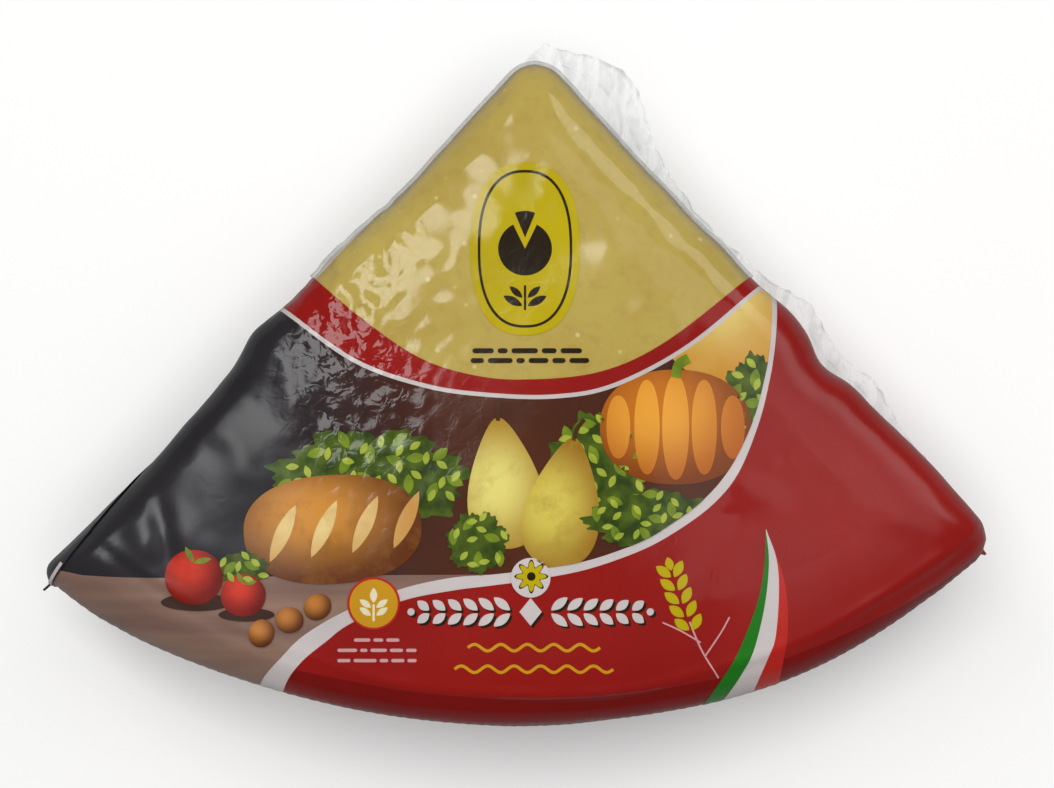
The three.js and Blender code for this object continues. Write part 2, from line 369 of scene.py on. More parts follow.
def crease_heights(points, shift):
    """How far the film stands off the smooth body at each point, in millimetres."""
    z = points[:, 2]
    x, y, _ = (points - shift).T
    reach = np.hypot(x, y)
    angle = np.arctan2(x, -y)
    inward = np.minimum(x * COS_HALF - y * SIN_HALF, -x * COS_HALF - y * SIN_HALF)
    lift = smooth(2, 20, z)
    margin = 1 - smooth(0.35 * MARGIN_REACH, MARGIN_REACH, inward)
    patch = swell(np.hypot(*((points[:, :2] - PATCH_MIDDLE) / PATCH_REACH).T), 0, 1)
    lumps = noise_at(points, 13, 1) + 0.5 * noise_at(points, 6.5, 2)
    heights = lumps * (FACE_LUMP + (MARGIN_LUMP - FACE_LUMP) * margin)
    heights += PATCH_CREASE * patch * (1 - 3 * np.abs(noise_at(points * (1.5, 1, 1), 7.5, 3)))
    for start, end, width, height in CREASES:
        heights += along_crease(points, start, end, width, height) * smooth(60, 90, z)
    rind = smooth(0.9, 0.96, reach / WHEEL_RADIUS) * (1 - smooth(92, 100, z))
    pleats = np.sin(angle * WHEEL_RADIUS * 2 * math.pi / PLEAT_PITCH + 3 * noise_at(points, 20, 4))
    heights += PLEAT_DEPTH * pleats * rind
    crease = WHEEL_RADIUS - RIND_CREASE_INSET + 1.2 * noise_at(points, 34, 8)
    bead = RIND_BEAD * (0.55 + 0.9 * noise_at(points, 22, 9))
    heights += bead * swell(reach, crease, 1.3) * smooth(90, 98, z)
    heights -= 0.5 * RIND_BEAD * swell(reach, crease + 3, 1.6) * smooth(90, 98, z)
    return heights * lift


def crease_film(body, shift):
    points = points_of(body)
    heights = crease_heights(points / MM, shift)
    place_points(body, points + normals_of(body) * heights[:, None] * MM)


# ---- cutting the film into the fields of its print

FAR = 400  # past every edge of the pack
EVERYWHERE = [(-FAR, -FAR), (FAR, -FAR), (FAR, FAR), (-FAR, FAR)]


def line_through(places, steps=8):
    """A smooth line through a few places."""
    places = [np.array(place, float) for place in places]
    ends = [2 * places[0] - places[1], *places, 2 * places[-1] - places[-2]]
    line = []
    for before, start, end, after in zip(ends, ends[1:], ends[2:], ends[3:]):
        for t in np.arange(steps) / steps:
            line.append(0.5 * (
                2 * start + (end - before) * t
                + (2 * before - 5 * start + 4 * end - after) * t**2
                + (3 * start - before - 3 * end + after) * t**3
            ))
    return [tuple(point) for point in [*line, places[-1]]]


def beside(line, width):
    """The line moved sideways, to the left of its run."""
    points = np.array(line)
    run = np.gradient(points, axis=0)
    run /= np.hypot(*run.T)[:, None]
    return [tuple(point) for point in points + np.column_stack([-run[:, 1], run[:, 0]]) * width]


def upright_block(outlines, low=-10, high=PACK_HEIGHT + 20):
    """An upright block over closed outlines that lie apart, to cut the film with."""
    bpy.ops.object.select_all(action="DESELECT")
    bpy.ops.mesh.primitive_circle_add(vertices=len(outlines[0]), fill_type="NGON")
    block = bpy.context.object
    bpy.ops.object.mode_set(mode="EDIT")
    for outline in outlines[1:]:
        bpy.ops.mesh.primitive_circle_add(vertices=len(outline), fill_type="NGON")
    edit = bmesh.from_edit_mesh(block.data)
    for vertex, (x, y) in zip(edit.verts, [point for outline in outlines for point in outline]):
        vertex.co = Vector((x, y, low)) * MM
    bmesh.update_edit_mesh(block.data)
    bpy.ops.mesh.select_all(action="SELECT")
    bpy.ops.mesh.extrude_region_move(TRANSFORM_OT_translate={"value": (0, 0, (high - low) * MM)})
    bpy.ops.mesh.select_all(action="SELECT")
    bpy.ops.mesh.normals_make_consistent(inside=False)
    bpy.ops.object.mode_set(mode="OBJECT")
    block.matrix_world.identity()
    return block


def cut(film, block, operation):
    apply_modifier(film, "BOOLEAN", operation=operation, object=block, solver="MANIFOLD")


def remove(thing):
    bpy.data.objects.remove(thing, do_unlink=True)


def trim(piece, outlines, operation, **heights):
    """Cuts a piece with an upright block over the outlines."""
    block = upright_block(outlines, **heights)
    cut(piece, block, operation)
    remove(block)


def take_field(film, name, outlines, **heights):
    """Cuts one field of the print out of the film, which loses it."""
    block = upright_block(outlines, **heights)
    field = copy_of(film, name)
    cut(field, block, "INTERSECT")
    cut(film, block, "DIFFERENCE")
    remove(block)
    return field


def layer_over(body, name, offset, thickness):
    """A closed thin skin round the body, its inner face offset millimetres off it."""
    layer = copy_of(body, name)
    place_points(layer, points_of(body) + normals_of(body) * offset * MM)
    apply_modifier(layer, "SOLIDIFY", thickness=thickness * MM, offset=1)
    return layer


def finish_piece(piece, material, slot, sharp=40):
    select_only(piece)
    bpy.ops.object.shade_smooth_by_angle(angle=math.radians(sharp))
    piece.data.materials.clear()
    piece.data.materials.append(material)
    for face in piece.data.polygons:
        face.material_index = 0
    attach(piece, "root")


# the print's border lines, from left to right or from top to bottom, in the frame
BAND_TOP = [
    (-150, 112), (-101.5, 67.5), (-82.5, 48.5), (-62.5, 28.5), (-47.5, 15.5), (-31, 4.3), (-15.5, -0.9),
    (1, -2.5), (24.5, 0), (45.5, 10), (73, 32), (88, 45), (107.5, 61), (150, 96),
]
LINE_TOP = [
    (-150, 84), (-108, 50), (-89, 34), (-71.5, 19.3), (-50.5, 4), (-29, -3.7), (-10, -6.5), (10.5, -7),
    (28.5, -3.5), (51, 8.5), (73.5, 27.3), (91.5, 43), (110.5, 59), (150, 92),
]
LINE_WIDTH = 1.3
SWOOSH_TOP = [
    (75, 130), (76.5, 64), (77.3, 45), (77, 25), (76, 8.5), (73.7, -4), (70, -16.5), (63.5, -29.5),
    (55.5, -39), (45.5, -46.5), (36, -52), (19.5, -57.7), (3, -60.3), (-8.5, -61.7), (-21, -62.7),
    (-36, -66), (-53, -72.7), (-65.5, -80), (-72.5, -86.7), (-80, -95.5), (-88, -112.5), (-98, -140),
]
SWOOSH_LOW = [
    (79, 130), (78.7, 64), (79, 45), (78.7, 25), (77.5, 8.5), (75.4, -4), (72, -16.7), (66, -31),
    (58.3, -40.4), (47.5, -48.4), (36, -54.6), (19.5, -60.3), (3, -63.4), (-8.5, -65), (-21, -66.6),
    (-36, -69.7), (-51.5, -76.5), (-59, -82), (-67, -88.7), (-72.6, -97), (-79.5, -115.5), (-86, -140),
]
HORIZON = [
    (-180, -52), (-139.5, -60.5), (-130.5, -62), (-112.5, -62.7), (-85, -62.5), (-58, -62), (40, -61.5),
]
# where the top face folds down to the rind
RIND_CREASE = [
    (-92, -84), (-72, -89.6), (-58, -92.6), (-36.5, -96.6), (-12.5, -99), (12, -99.3), (36, -97.3),
    (60.5, -92.8), (85, -85.3), (109.5, -74.5), (128, -64), (142, -54),
]
UNDERSIDE_EDGE = 5  # height at which the front's picture gives way to the plain back of the pack


def print_fields(film):
    """The film's printed fields by name, each cut along the print's border lines."""
    above = [(FAR, FAR), (-FAR, FAR)]
    left_below = [(-FAR, -FAR), (-FAR, FAR)]
    band_top = line_through(BAND_TOP)
    line_top = line_through(LINE_TOP)
    line_low = beside(line_top, -LINE_WIDTH)
    swoosh_top = line_through(SWOOSH_TOP)
    swoosh_low = line_through(SWOOSH_LOW)
    fields = {"window_film": take_field(film, "window_film", [[*band_top, *above]])}
    fields["red_band"] = take_field(film, "red_band", [[*line_top, *above]])
    fields["white_line"] = take_field(film, "white_line", [[*line_low, *above]])
    fields["underside_film"] = take_field(film, "underside_film", [EVERYWHERE], high=UNDERSIDE_EDGE)
    fields["picture_field"] = take_field(film, "picture_field", [[*swoosh_top, *left_below]])
    fields["white_swoosh"] = take_field(film, "white_swoosh", [[*swoosh_low, *left_below]])
    below_horizon = [
        *line_through(HORIZON), (FAR, HORIZON[-1][1]), (FAR, -FAR), (-FAR, -FAR), (-FAR, HORIZON[0][1]),
    ]
    fields["table_field"] = take_field(fields["picture_field"], "table_field", [below_horizon])
    rind = [*line_through(RIND_CREASE), (FAR, RIND_CREASE[-1][1]), (FAR, -FAR), (RIND_CREASE[0][0], -FAR)]
    fields["rind_field"] = take_field(film, "rind_field", [rind])
    film.name = "red_field"
    fields["red_field"] = film
    return fields


# ---- the finer print: flat shapes laid on the film

INK_GAP = 0.01
INK_STEP = 0.09  # from one level of ink to the next
TOP_LOW = 72  # the finer print lies above this height, apart from the ribbon


def oval(centre, radii, square=2, turn=0, steps=72):
    """An oval outline, squarer as its power grows."""
    points = []
    for step in range(steps):
        t = 2 * math.pi * step / steps
        x = radii[0] * math.copysign(abs(math.cos(t)) ** (2 / square), math.cos(t))
        y = radii[1] * math.copysign(abs(math.sin(t)) ** (2 / square), math.sin(t))
        points.append(turned(centre, x, y, turn))
    return points


def turned(centre, x, y, turn):
    """A place x along and y aside of a direction that leaves the centre."""
    return (
        centre[0] + x * math.cos(turn) - y * math.sin(turn),
        centre[1] + x * math.sin(turn) + y * math.cos(turn),
    )


def leaf(base, length, width, turn, steps=10):
    """A pointed leaf from its base, which points along its turn."""
    rise = [math.sin(math.pi * step / steps) ** 0.8 * width / 2 for step in range(1, steps)]
    along = [length * step / steps for step in range(1, steps)]
    upper = [turned(base, x, y, turn) for x, y in zip(along, rise)]
    lower = [turned(base, x, -y, turn) for x, y in zip(along[::-1], rise[::-1])]
    return [turned(base, length, 0, turn), *lower, tuple(base), *upper]


def bar(start, end, width, steps=6):
    """A straight stroke with round ends."""
    turn = math.atan2(end[1] - start[1], end[0] - start[0])
    ends = []
    for centre, first in ((end, -math.pi / 2), (start, math.pi / 2)):
        for step in range(steps + 1):
            t = first + math.pi * step / steps
            ends.append(turned(centre, width / 2 * math.cos(t), width / 2 * math.sin(t), turn))
    return ends


def stroke(line, width):
    """A stroke of even width along a line."""
    return [*beside(line, width / 2), *beside(line, -width / 2)[::-1]]


def wave(start, length, height, pitch, width):
    """A level wavy stroke."""
    xs = np.linspace(0, length, int(length * 2))
    line = [(start[0] + x, start[1] + height * math.sin(2 * math.pi * x / pitch)) for x in xs]
    return stroke(line, width)


def moved(outlines, dx, dy):
    return [[(x + dx, y + dy) for x, y in outline] for outline in outlines]


def dashes(centre, total, width, lengths, gap=1.2):
    """A row of short strokes centred on a place, their lengths in turn."""
    outlines = []
    x = centre[0] - total / 2
    turn = 0
    while x < centre[0] + total / 2 - 1:
        length = min(lengths[turn % len(lengths)], centre[0] + total / 2 - x)
        end = x + max(length, 1.6) - width / 2
        outlines.append(bar((x + width / 2, centre[1]), (end, centre[1]), width))
        x += length + gap
        turn += 1
    return outlines


class InkLayers:
    """Thin skins over the pack's top, from which the print's shapes are cut."""

    def __init__(self, body, zones):
        self.top = copy_of(body, "print_base")
        trim(self.top, [EVERYWHERE], "INTERSECT", low=TOP_LOW)
        self.zones = zones
        self.parts = {}

    def layer(self, zone, level):
        """The skin of one level over one zone, made when it is first asked for."""
        if (zone, level) not in self.parts:
            layer = layer_over(self.top, "ink_layer", INK_GAP + INK_STEP * level, INK_THICKNESS)
            for name, outline in self.zones.items():
                part = copy_of(layer, f"ink_{name}_{level}")
                trim(part, [outline], "INTERSECT", low=TOP_LOW + 2)
                self.parts[name, level] = part
            remove(layer)
        return self.parts[zone, level]

    def shape(self, name, zone, level, outlines, material, holes=(), within=()):
        """A printed shape of one ink, with its holes cut out and kept within an outline."""
        piece = copy_of(self.layer(zone, level), name)
        for rings, operation in ((outlines, "INTERSECT"), (holes, "DIFFERENCE"), (within, "INTERSECT")):
            if rings:
                trim(piece, rings, operation, low=TOP_LOW)
        finish_piece(piece, material, "printed_film")

    def close(self):
        for part in [self.top, *self.parts.values()]:
            remove(part)


LABEL_MIDDLE = (1.3, 37.5)
LABEL_REACH = (16.7, 26.5)
LABEL_SQUARE = 2.4
KEYLINE = (2.3, 3.1)  # its outer and its inner edge, in from the label's
MARK_RADIUS = 8.2
MARK_MOUTH = math.radians(26)
SLICE_OUT = 3.4
SLICE_SHARE = 0.86
# height below the label's middle, length, width and lean in degrees
LABEL_LEAVES = [(17.5, 6.5, 2.4, 62), (15, 5.2, 2.0, 48)]
# middle, width and stroke lengths of each row
SMALL_PRINT = [((2.8, 6.3), 35, [6.5, 3, 8, 4.5]), ((2.8, 3.3), 36, [4, 7.5, 2.5, 6])]


def pie(tip, radius, start, end, steps):
    """A slice of a disc round its tip, between two angles."""
    arc = np.linspace(start, end, steps)
    return [tip, *((tip[0] + radius * math.cos(t), tip[1] + radius * math.sin(t)) for t in arc)]


def print_label(layers, inks):
    """The upright yellow label with a dark keyline and a cheese with a wedge drawn out of it."""
    x, y = LABEL_MIDDLE
    outer, inner = (oval(LABEL_MIDDLE, [r - inset for r in LABEL_REACH], LABEL_SQUARE) for inset in KEYLINE)
    layers.shape("label", "window", 0, [oval(LABEL_MIDDLE, LABEL_REACH, LABEL_SQUARE)], inks["yellow"])
    layers.shape("label_keyline", "window", 1, [outer], inks["dark"], holes=[inner])
    up = math.pi / 2
    half_slice = MARK_MOUTH * SLICE_SHARE
    marks = [
        pie((x, y), MARK_RADIUS, up + MARK_MOUTH, up - MARK_MOUTH + 2 * math.pi, 60),
        pie((x, y + SLICE_OUT), MARK_RADIUS, up - half_slice, up + half_slice, 16),
    ]
    for hand in (-1, 1):
        for below, length, width, lean in LABEL_LEAVES:
            marks.append(leaf((x + hand * 0.8, y - below), length, width, math.radians(90 - hand * lean)))
    marks.append(bar((x, y - 18.5), (x, y - 11.5), 0.7))
    layers.shape("label_marks", "window", 1, marks, inks["dark"])
    rows = [dash for middle, total, lengths in SMALL_PRINT for dash in dashes(middle, total, 1.5, lengths)]
    layers.shape("small_print", "window", 0, rows, inks["dark"])


def print_over_edge(body, name, outline, material, without=(), within=()):
    """A printed shape that runs from the top face down the side of the pack."""
    piece = layer_over(body, name, INK_GAP, INK_THICKNESS)
    for ring, operation in ((outline, "INTERSECT"), (without, "DIFFERENCE"), (within, "INTERSECT")):
        if ring:
            trim(piece, [ring], operation, low=UNDERSIDE_EDGE)
    finish_piece(piece, material, "printed_film")


# the edges of the ribbon's stripes from left to right, each from its tip down
RIBBON_EDGES = [
    [(74.2, -48), (74, -57), (72.5, -67), (69.5, -76.5),
     (65.2, -86.5), (61, -93.5), (56, -101), (50, -112)],
    [(74.3, -48), (75.2, -57), (74.5, -67), (72.8, -76.5),
     (70.3, -85.5), (67, -92), (62.5, -99), (55, -110)],
    [(74.4, -48), (77.5, -57), (78.2, -67), (77.2, -80.5),
     (75, -87), (71.5, -96), (69.5, -104.5), (67, -112)],
    [(74.5, -48), (79.2, -61), (80.8, -70.5), (80.8, -80.5),
     (79.8, -87.5), (79, -93.5), (78.5, -101.5), (77, -110)],
]


def print_ribbon(body, inks):
    """The three-coloured ribbon that widens down to the rind and over it."""
    edges = [line_through(edge) for edge in RIBBON_EDGES]
    names = ("ribbon_green", "ribbon_white", "ribbon_red")
    for name, colour, left, right in zip(names, ("green", "white", "bright_red"), edges, edges[1:]):
        print_over_edge(body, name, [*left, *right[::-1]], inks[colour])


BADGE_MIDDLE = (-44.5, -70.5)
BADGE_RADIUS = 7.3
BADGE_RIM_RADIUS = 8
FINE_ROWS = [
    ((-43.5, -81.5), 14, [5, 3, 4]),
    ((-43.5, -84.6), 24, [6, 2.2, 5, 4]),
    ((-43.5, -87.7), 24, [4, 7, 2.6]),
]


def print_badge(layers, inks):
    """A smooth gold disc with a small cream sprig, and three rows of short strokes under it."""
    x, y = BADGE_MIDDLE
    rim = oval(BADGE_MIDDLE, (BADGE_RIM_RADIUS, BADGE_RIM_RADIUS))
    layers.shape("badge_rim", "lower", 5, [rim], inks["bright_red"])
    layers.shape("badge", "lower", 6, [oval(BADGE_MIDDLE, (BADGE_RADIUS, BADGE_RADIUS))], inks["gold"])
    sprig = [bar((x, y - 5), (x, y - 0.5), 0.7), leaf((x, y + 0.2), 4.6, 2.2, math.pi / 2)]
    for hand in (-1, 1):
        for below in (1.2, 3.6):
            sprig.append(leaf((x + hand * 0.8, y - below), 4.2, 1.9, math.radians(90 - hand * 55)))
    layers.shape("badge_sprig", "lower", 7, sprig, inks["cream"])
    rows = [dash for middle, total, lengths in FINE_ROWS for dash in dashes(middle, total, 1.0, lengths, 0.9)]
    layers.shape("fine_rows", "lower", 0, rows, inks["pale_pink"])


EMBLEM_MIDDLE = (3.2, -62.3)
EMBLEM_RIM = 1.12  # how much larger than the flower its dark rim is
BUMP_MIDDLE = (3, -62.7)
BUMP_RADIUS = 6


def flower(centre, size, steps=128):
    """The outline of a round flower with eight petals."""
    turns = np.linspace(0, 2 * math.pi, steps, endpoint=False)
    return [turned(centre, size * (3.6 + math.cos(8 * t)), 0, t) for t in turns]


def print_emblem(layers, inks):
    """The round bump of the swoosh, with a small yellow flower on it."""
    layers.shape("emblem_bump", "lower", 5, [oval(BUMP_MIDDLE, (BUMP_RADIUS, BUMP_RADIUS))], inks["white"])
    layers.shape("emblem_rim", "lower", 6, [flower(EMBLEM_MIDDLE, EMBLEM_RIM)], inks["dark"])
    layers.shape("emblem", "lower", 7, [flower(EMBLEM_MIDDLE, 1)], inks["yellow"])
    layers.shape("emblem_eye", "lower", 8, [oval(EMBLEM_MIDDLE, (1.3, 1.3), steps=24)], inks["dark"])


WHEAT_STEM = [(60, -93), (55, -85), (51.5, -77), (48.5, -69), (46, -61)]
WHEAT_LEAVES = [((56.5, -87), (64, -75), 1), ((54, -83), (42.5, -77), -1)]  # foot, point and hand


def print_sprig(layers, inks):
    """An ear of wheat: yellow grains over a thin pale outline of stem and leaves."""
    stem = line_through(WHEAT_STEM)
    grains = []
    for place in range(5):
        x, y = stem[-1 - 4 * place]
        for side in (-1, 1):
            grains.append(leaf((x + side * 0.5, y - 1.5), 5.6, 2.9, math.radians(104 - side * 40)))
    grains.append(leaf((45.6, -60.5), 4.2, 2.6, math.radians(106)))
    layers.shape("ear_grains", "lower", 1, grains, inks["yellow"])
    pale = [stroke(stem[:18], 0.5)]
    for foot, reach, side in WHEAT_LEAVES:
        bend = (foot[0] + (reach[0] - foot[0]) * 0.35 + side * 2.2, foot[1] + (reach[1] - foot[1]) * 0.6)
        outer = line_through([foot, bend, reach])
        pale.append(stroke(beside(outer, side * 0.9), 0.45))
    layers.shape("ear_stem", "lower", 0, pale, inks["pale_pink"])


GARLAND_MIDDLE = (3, -73)
GARLAND_PAIRS = 6
GARLAND_FIRST = 6.2
GARLAND_PITCH = 4.9
GARLAND_SHADOW = (0.7, -0.7)


def print_garland(layers, inks):
    """Paired leaves along two stems that leave a lozenge, level across the red field, with a shadow."""
    x, y = GARLAND_MIDDLE
    outlines = [[(x - 3.4, y), (x, y - 4.2), (x + 3.4, y), (x, y + 4.2)]]
    for hand in (-1, 1):
        for turn in range(GARLAND_PAIRS):
            foot = x + hand * (GARLAND_FIRST + GARLAND_PITCH * turn)
            for up in (-1, 1):
                lean = math.radians(38) * up
                direction = lean if hand > 0 else math.pi - lean
                outlines.append(leaf((foot, y + up * 0.5), 6.3 - 0.35 * turn, 2.7, direction))
        outlines.append(oval((x + hand * 36.2, y), (1.1, 1.1), steps=20))
    layers.shape("garland_shadow", "lower", 0, moved(outlines, *GARLAND_SHADOW), inks["dark"])
    layers.shape("garland", "lower", 1, outlines, inks["white"])


SCROLLS = [((-16, -83.8), 40), ((-20, -90.3), 48)]  # left end and length


def print_scrolls(layers, inks):
    """Two level wavy lines under the garland."""
    waves = [wave(start, length, 1.0, 8, 0.9) for start, length in SCROLLS]
    layers.shape("gold_scrolls", "lower", 0, waves, inks["gold"])


# ---- the still life in the picture, in soft round fields of colour

LEAF_SEED = 7
MELON = ((64, 22), (25, 26))
PUMPKIN_MIDDLE = (47, -17)
PUMPKIN_REACH = (23, 17.5)
PUMPKIN_SHADED = (25, 20)
# place, lean, light and dark of each pear
PEARS = [
    ((-5, -34), 0.1, (226, 214, 118), (166, 126, 36)),
    ((13, -40), -0.16, (214, 196, 84), (150, 106, 26)),
]
LOAF = ((-57, -48), (27, 16.5))
RED_FRUIT = [((-99, -62.5), 8.8), ((-84, -68), 6.8)]
NUTS = [(-70, -75.5), (-61.5, -71.5), (-78.5, -79.5)]
CLUMPS_BEHIND = [((-46, -33), (29, 15)), ((24, -30), (15, 17)), ((72, -8), (10, 13))]
CLUMPS_IN_FRONT = [((40, -45), (20, 8.5)), ((-84, -60), (7.5, 5)), ((-13, -52), (9, 9))]


def pear_outline(centre, width, height, turn, steps=64):
    """A pear's outline, wide below and narrow above."""
    points = []
    for step in range(steps):
        t = 2 * math.pi * step / steps
        waist = (1 - 0.66 * (1 + math.cos(t)) / 2) ** 0.9
        points.append(turned(centre, width * math.sin(t) * waist * 1.25, height * math.cos(t), turn))
    return points[::-1]


def leafy_clump(centre, radii, phase, steps=180):
    """The frilled outline of a bunch of leaves."""
    points = []
    for step in range(steps):
        t = 2 * math.pi * step / steps
        frill = 1 + 0.07 * math.sin(7 * t + phase) + 0.05 * math.sin(16 * t + 2 * phase)
        frill += 0.035 * math.sin(33 * t)
        x, y = (radius * frill for radius in radii)
        points.append((centre[0] + x * math.cos(t), centre[1] + y * math.sin(t)))
    return points


def scattered_leaves(draw, clumps, length, count):
    """Small leaves over the clumps, each clear of the next."""
    middles = []
    outlines = []
    for _ in range(count * 6):
        centre, radii = clumps[int(draw.integers(len(clumps)))]
        turn = draw.uniform(0, 2 * math.pi)
        reach = math.sqrt(draw.uniform(0, 0.85))
        x = centre[0] + radii[0] * reach * math.cos(turn)
        y = centre[1] + radii[1] * reach * math.sin(turn)
        lean = draw.uniform(0, math.pi)
        if all(math.hypot(x - px, y - py) > length for px, py in middles):
            middles.append((x, y))
            foot = turned((x, y), -length / 2, 0, lean)
            outlines.append(leaf(foot, length * 0.98, length * 0.5, lean, steps=6))
        if len(outlines) == count:
            break
    return outlines


def print_still_life(body, layers, group):
    """A melon, a pumpkin, two pears, a loaf, red fruit and nuts among green leaves."""
    line_low = beside(line_through(LINE_TOP), -LINE_WIDTH)
    past_line = [*line_low, (FAR, FAR), (-FAR, FAR)]
    inside_swoosh = [*line_through(SWOOSH_TOP), (-FAR, -FAR), (-FAR, FAR)]

    def put(name, level, outlines, material):
        layers.shape(name, "picture", level, outlines, material, holes=[past_line], within=[inside_swoosh])

    def rounded(name, centre, radii, light, dark, **more):
        return round_ink(name + "_ink", group, centre, radii, srgb(*light), srgb(*dark), **more)

    melon_ink = rounded("melon", *MELON, (222, 206, 122), (196, 138, 44), mottle=70)
    print_over_edge(body, "melon", oval(*MELON), melon_ink, without=past_line, within=inside_swoosh)
    dark_leaves = leaf_ink("dark_leaves", group, srgb(44, 62, 16), srgb(78, 98, 24))
    mid_leaves = leaf_ink("mid_leaves", group, srgb(92, 116, 26), srgb(122, 142, 34))
    light_leaves = leaf_ink("light_leaves", group, srgb(140, 158, 44), srgb(168, 178, 66))
    draw = np.random.default_rng(LEAF_SEED)
    bunches = [leafy_clump(*clump, phase) for phase, clump in enumerate(CLUMPS_BEHIND)]
    put("leaves_behind", 1, bunches, dark_leaves)
    put("leaves_behind_mid", 2, scattered_leaves(draw, CLUMPS_BEHIND, 6.2, 60), mid_leaves)
    put("leaves_behind_light", 3, scattered_leaves(draw, CLUMPS_BEHIND, 4.2, 70), light_leaves)

    x, y = PUMPKIN_MIDDLE
    flesh = rounded("pumpkin", PUMPKIN_MIDDLE, PUMPKIN_SHADED, (196, 112, 24), (120, 56, 12))
    put("pumpkin", 3, [oval(PUMPKIN_MIDDLE, PUMPKIN_REACH, 2.2)], flesh)
    ribs = []
    for step in (-2, -1, 0, 1, 2):
        ribs.append(oval((x + 8.7 * step, y), (4.1 - 0.25 * abs(step), 16 - 1.6 * step**2), 2.1))
    lit = rounded("pumpkin_ribs", PUMPKIN_MIDDLE, PUMPKIN_SHADED, (230, 158, 52), (176, 92, 20))
    put("pumpkin_ribs", 4, ribs, lit)
    stem = stroke(line_through([(x, y + 15), (x + 1, y + 19), (x + 4, y + 21)], 4), 3)
    put("pumpkin_stem", 5, [stem], mid_leaves)

    stalk_ink = ink("stalk_ink", group, srgb(74, 46, 22))
    for number, (place, lean, light, dark) in enumerate(PEARS):
        name = f"pear_{number + 1}"
        low = turned(place, 0, -6, lean)
        put(name, 4 + number, [pear_outline(place, 12.5, 20, lean)],
            rounded(name, low, (15, 18), light, dark, mottle=120))
        stalk = [turned(place, across, up, lean) for across, up in ((0, 19), (0.6, 23), (2.2, 26))]
        put(name + "_stalk", 5, [stroke(line_through(stalk, 4), 1.3)], stalk_ink)

    crust = rounded("loaf", *LOAF, (206, 140, 58), (98, 50, 18), mottle=90)
    put("loaf", 4, [oval(*LOAF, 2.3, 0.06)], crust)
    slashes = [leaf((-76 + 12.5 * step, -58 + 1.4 * step), 19, 4.6, math.radians(66)) for step in range(4)]
    crumb = rounded("loaf_slashes", *LOAF, (232, 206, 140), (196, 142, 70), mottle=110)
    put("loaf_slashes", 5, slashes, crumb)

    bunches = [leafy_clump(*clump, 4 + turn) for turn, clump in enumerate(CLUMPS_IN_FRONT)]
    put("leaves_front", 6, bunches, dark_leaves)
    put("leaves_front_mid", 7, scattered_leaves(draw, CLUMPS_IN_FRONT, 5.4, 34), mid_leaves)
    put("leaves_front_light", 8, scattered_leaves(draw, CLUMPS_IN_FRONT, 3.6, 34), light_leaves)

    shade_ink = ink("fruit_shade_ink", group, srgb(62, 40, 32))
    for number, (place, radius) in enumerate(RED_FRUIT):
        name = f"red_fruit_{number + 1}"
        shade = oval((place[0] + 1, place[1] - radius * 0.86), (radius * 1.25, radius * 0.3))
        put(name + "_shade", 5, [shade], shade_ink)
        put(name, 7, [oval(place, (radius, radius * 0.94), 2.1)],
            rounded(name, place, (radius, radius), (206, 50, 26), (104, 14, 10), mottle=60))
        foot = turned(place, 0, radius * 0.5, 0)
        star = [leaf(foot, radius * 0.62, radius * 0.2, math.radians(turn)) for turn in (12, 118)]
        put(name + "_star", 8, star, mid_leaves)

    for number, place in enumerate(NUTS):
        name = f"nut_{number + 1}"
        put(name, 7, [oval(place, (4.3, 3.9), 2, 0.6 * number)],
            rounded(name, place, (4.6, 4.4), (186, 118, 52), (84, 42, 18)))


# ---- the seal, the loose clear film and the corners

FIN_SHEET_ROOT = 4
FIN_SHEET_THICKNESS = 0.25
FIN_CRINKLE = 0.75
CLEAR_THICKNESS = 0.2
LOOSE_GAP = 0.75
LOOSE_RIM = 1.2
LOOSE_LOW = 1  # the height that the loose film comes down to


def thin_plate(name, across, up, place, thickness):
    """A thin closed plate over a grid whose shares give its places in millimetres."""
    plate, u, v = grid_shares(across, up)
    plate.name = name
    place_points(plate, place(u, v) * MM)
    apply_modifier(plate, "SOLIDIFY", thickness=thickness * MM, offset=0)
    return plate


def seal_place(shift):
    """The crinkled sheet of the seal: u along the right side, v outwards."""
    def place(u, v):
        points = fin_point(u, v, root=FIN_SHEET_ROOT)
        fine = noise_at(points * (1, 1, 0), 5, 5)
        coarse = noise_at(points * (1, 1, 0), 14, 6)
        free = smooth(0.2, 1, v)
        points[:, 2] += FIN_CRINKLE * free * (2.2 * coarse + (1 - 3 * np.abs(fine)))
        edge = 0.9 * noise_at(np.column_stack([u * 60, 0 * u, 0 * u]), 1, 7) * v**3
        points[:, 0] += edge * COS_HALF
        points[:, 1] += edge * SIN_HALF
        return points + shift
    return place


# the fold of the film that covers the left corner, and its white cut edge
FOLD_OUTLINE = [
    (-112, -24), (-126, -41), (-137.2, -55.6), (-140.2, -60.3), (-144.5, -65.4), (-170, -66), (-170, -24),
]
CUT_EDGE_OUTLINE = [(-139.4, -58.2), (-140.2, -57.6), (-145.6, -64.7), (-144.8, -65.6)]
FOLD_GAP = 0.05
FOLD_THICKNESS = 0.45
# the ears that the film ends in, upright at the left and flat at the right
# root, point, top, height and lean
LEFT_EAR = ((-139.5, -57.5), (-147.4, -66), 87, 30, 2.6)
RIGHT_EAR = ((131, -44.5), (145.2, -54.6), 74, 6, 11)
EAR_THICKNESS = 0.6


def make_fold(body, dark, white):
    """The fold of dark film over the left corner, and the white cut edge on it."""
    for name, outline, gap, finish in (
        ("corner_fold", FOLD_OUTLINE, FOLD_GAP, dark),
        ("corner_cut_edge", CUT_EDGE_OUTLINE, FOLD_GAP + FOLD_THICKNESS, white),
    ):
        piece = layer_over(body, name, gap, FOLD_THICKNESS)
        trim(piece, [outline], "INTERSECT", low=UNDERSIDE_EDGE)
        finish_piece(piece, finish, "printed_film")


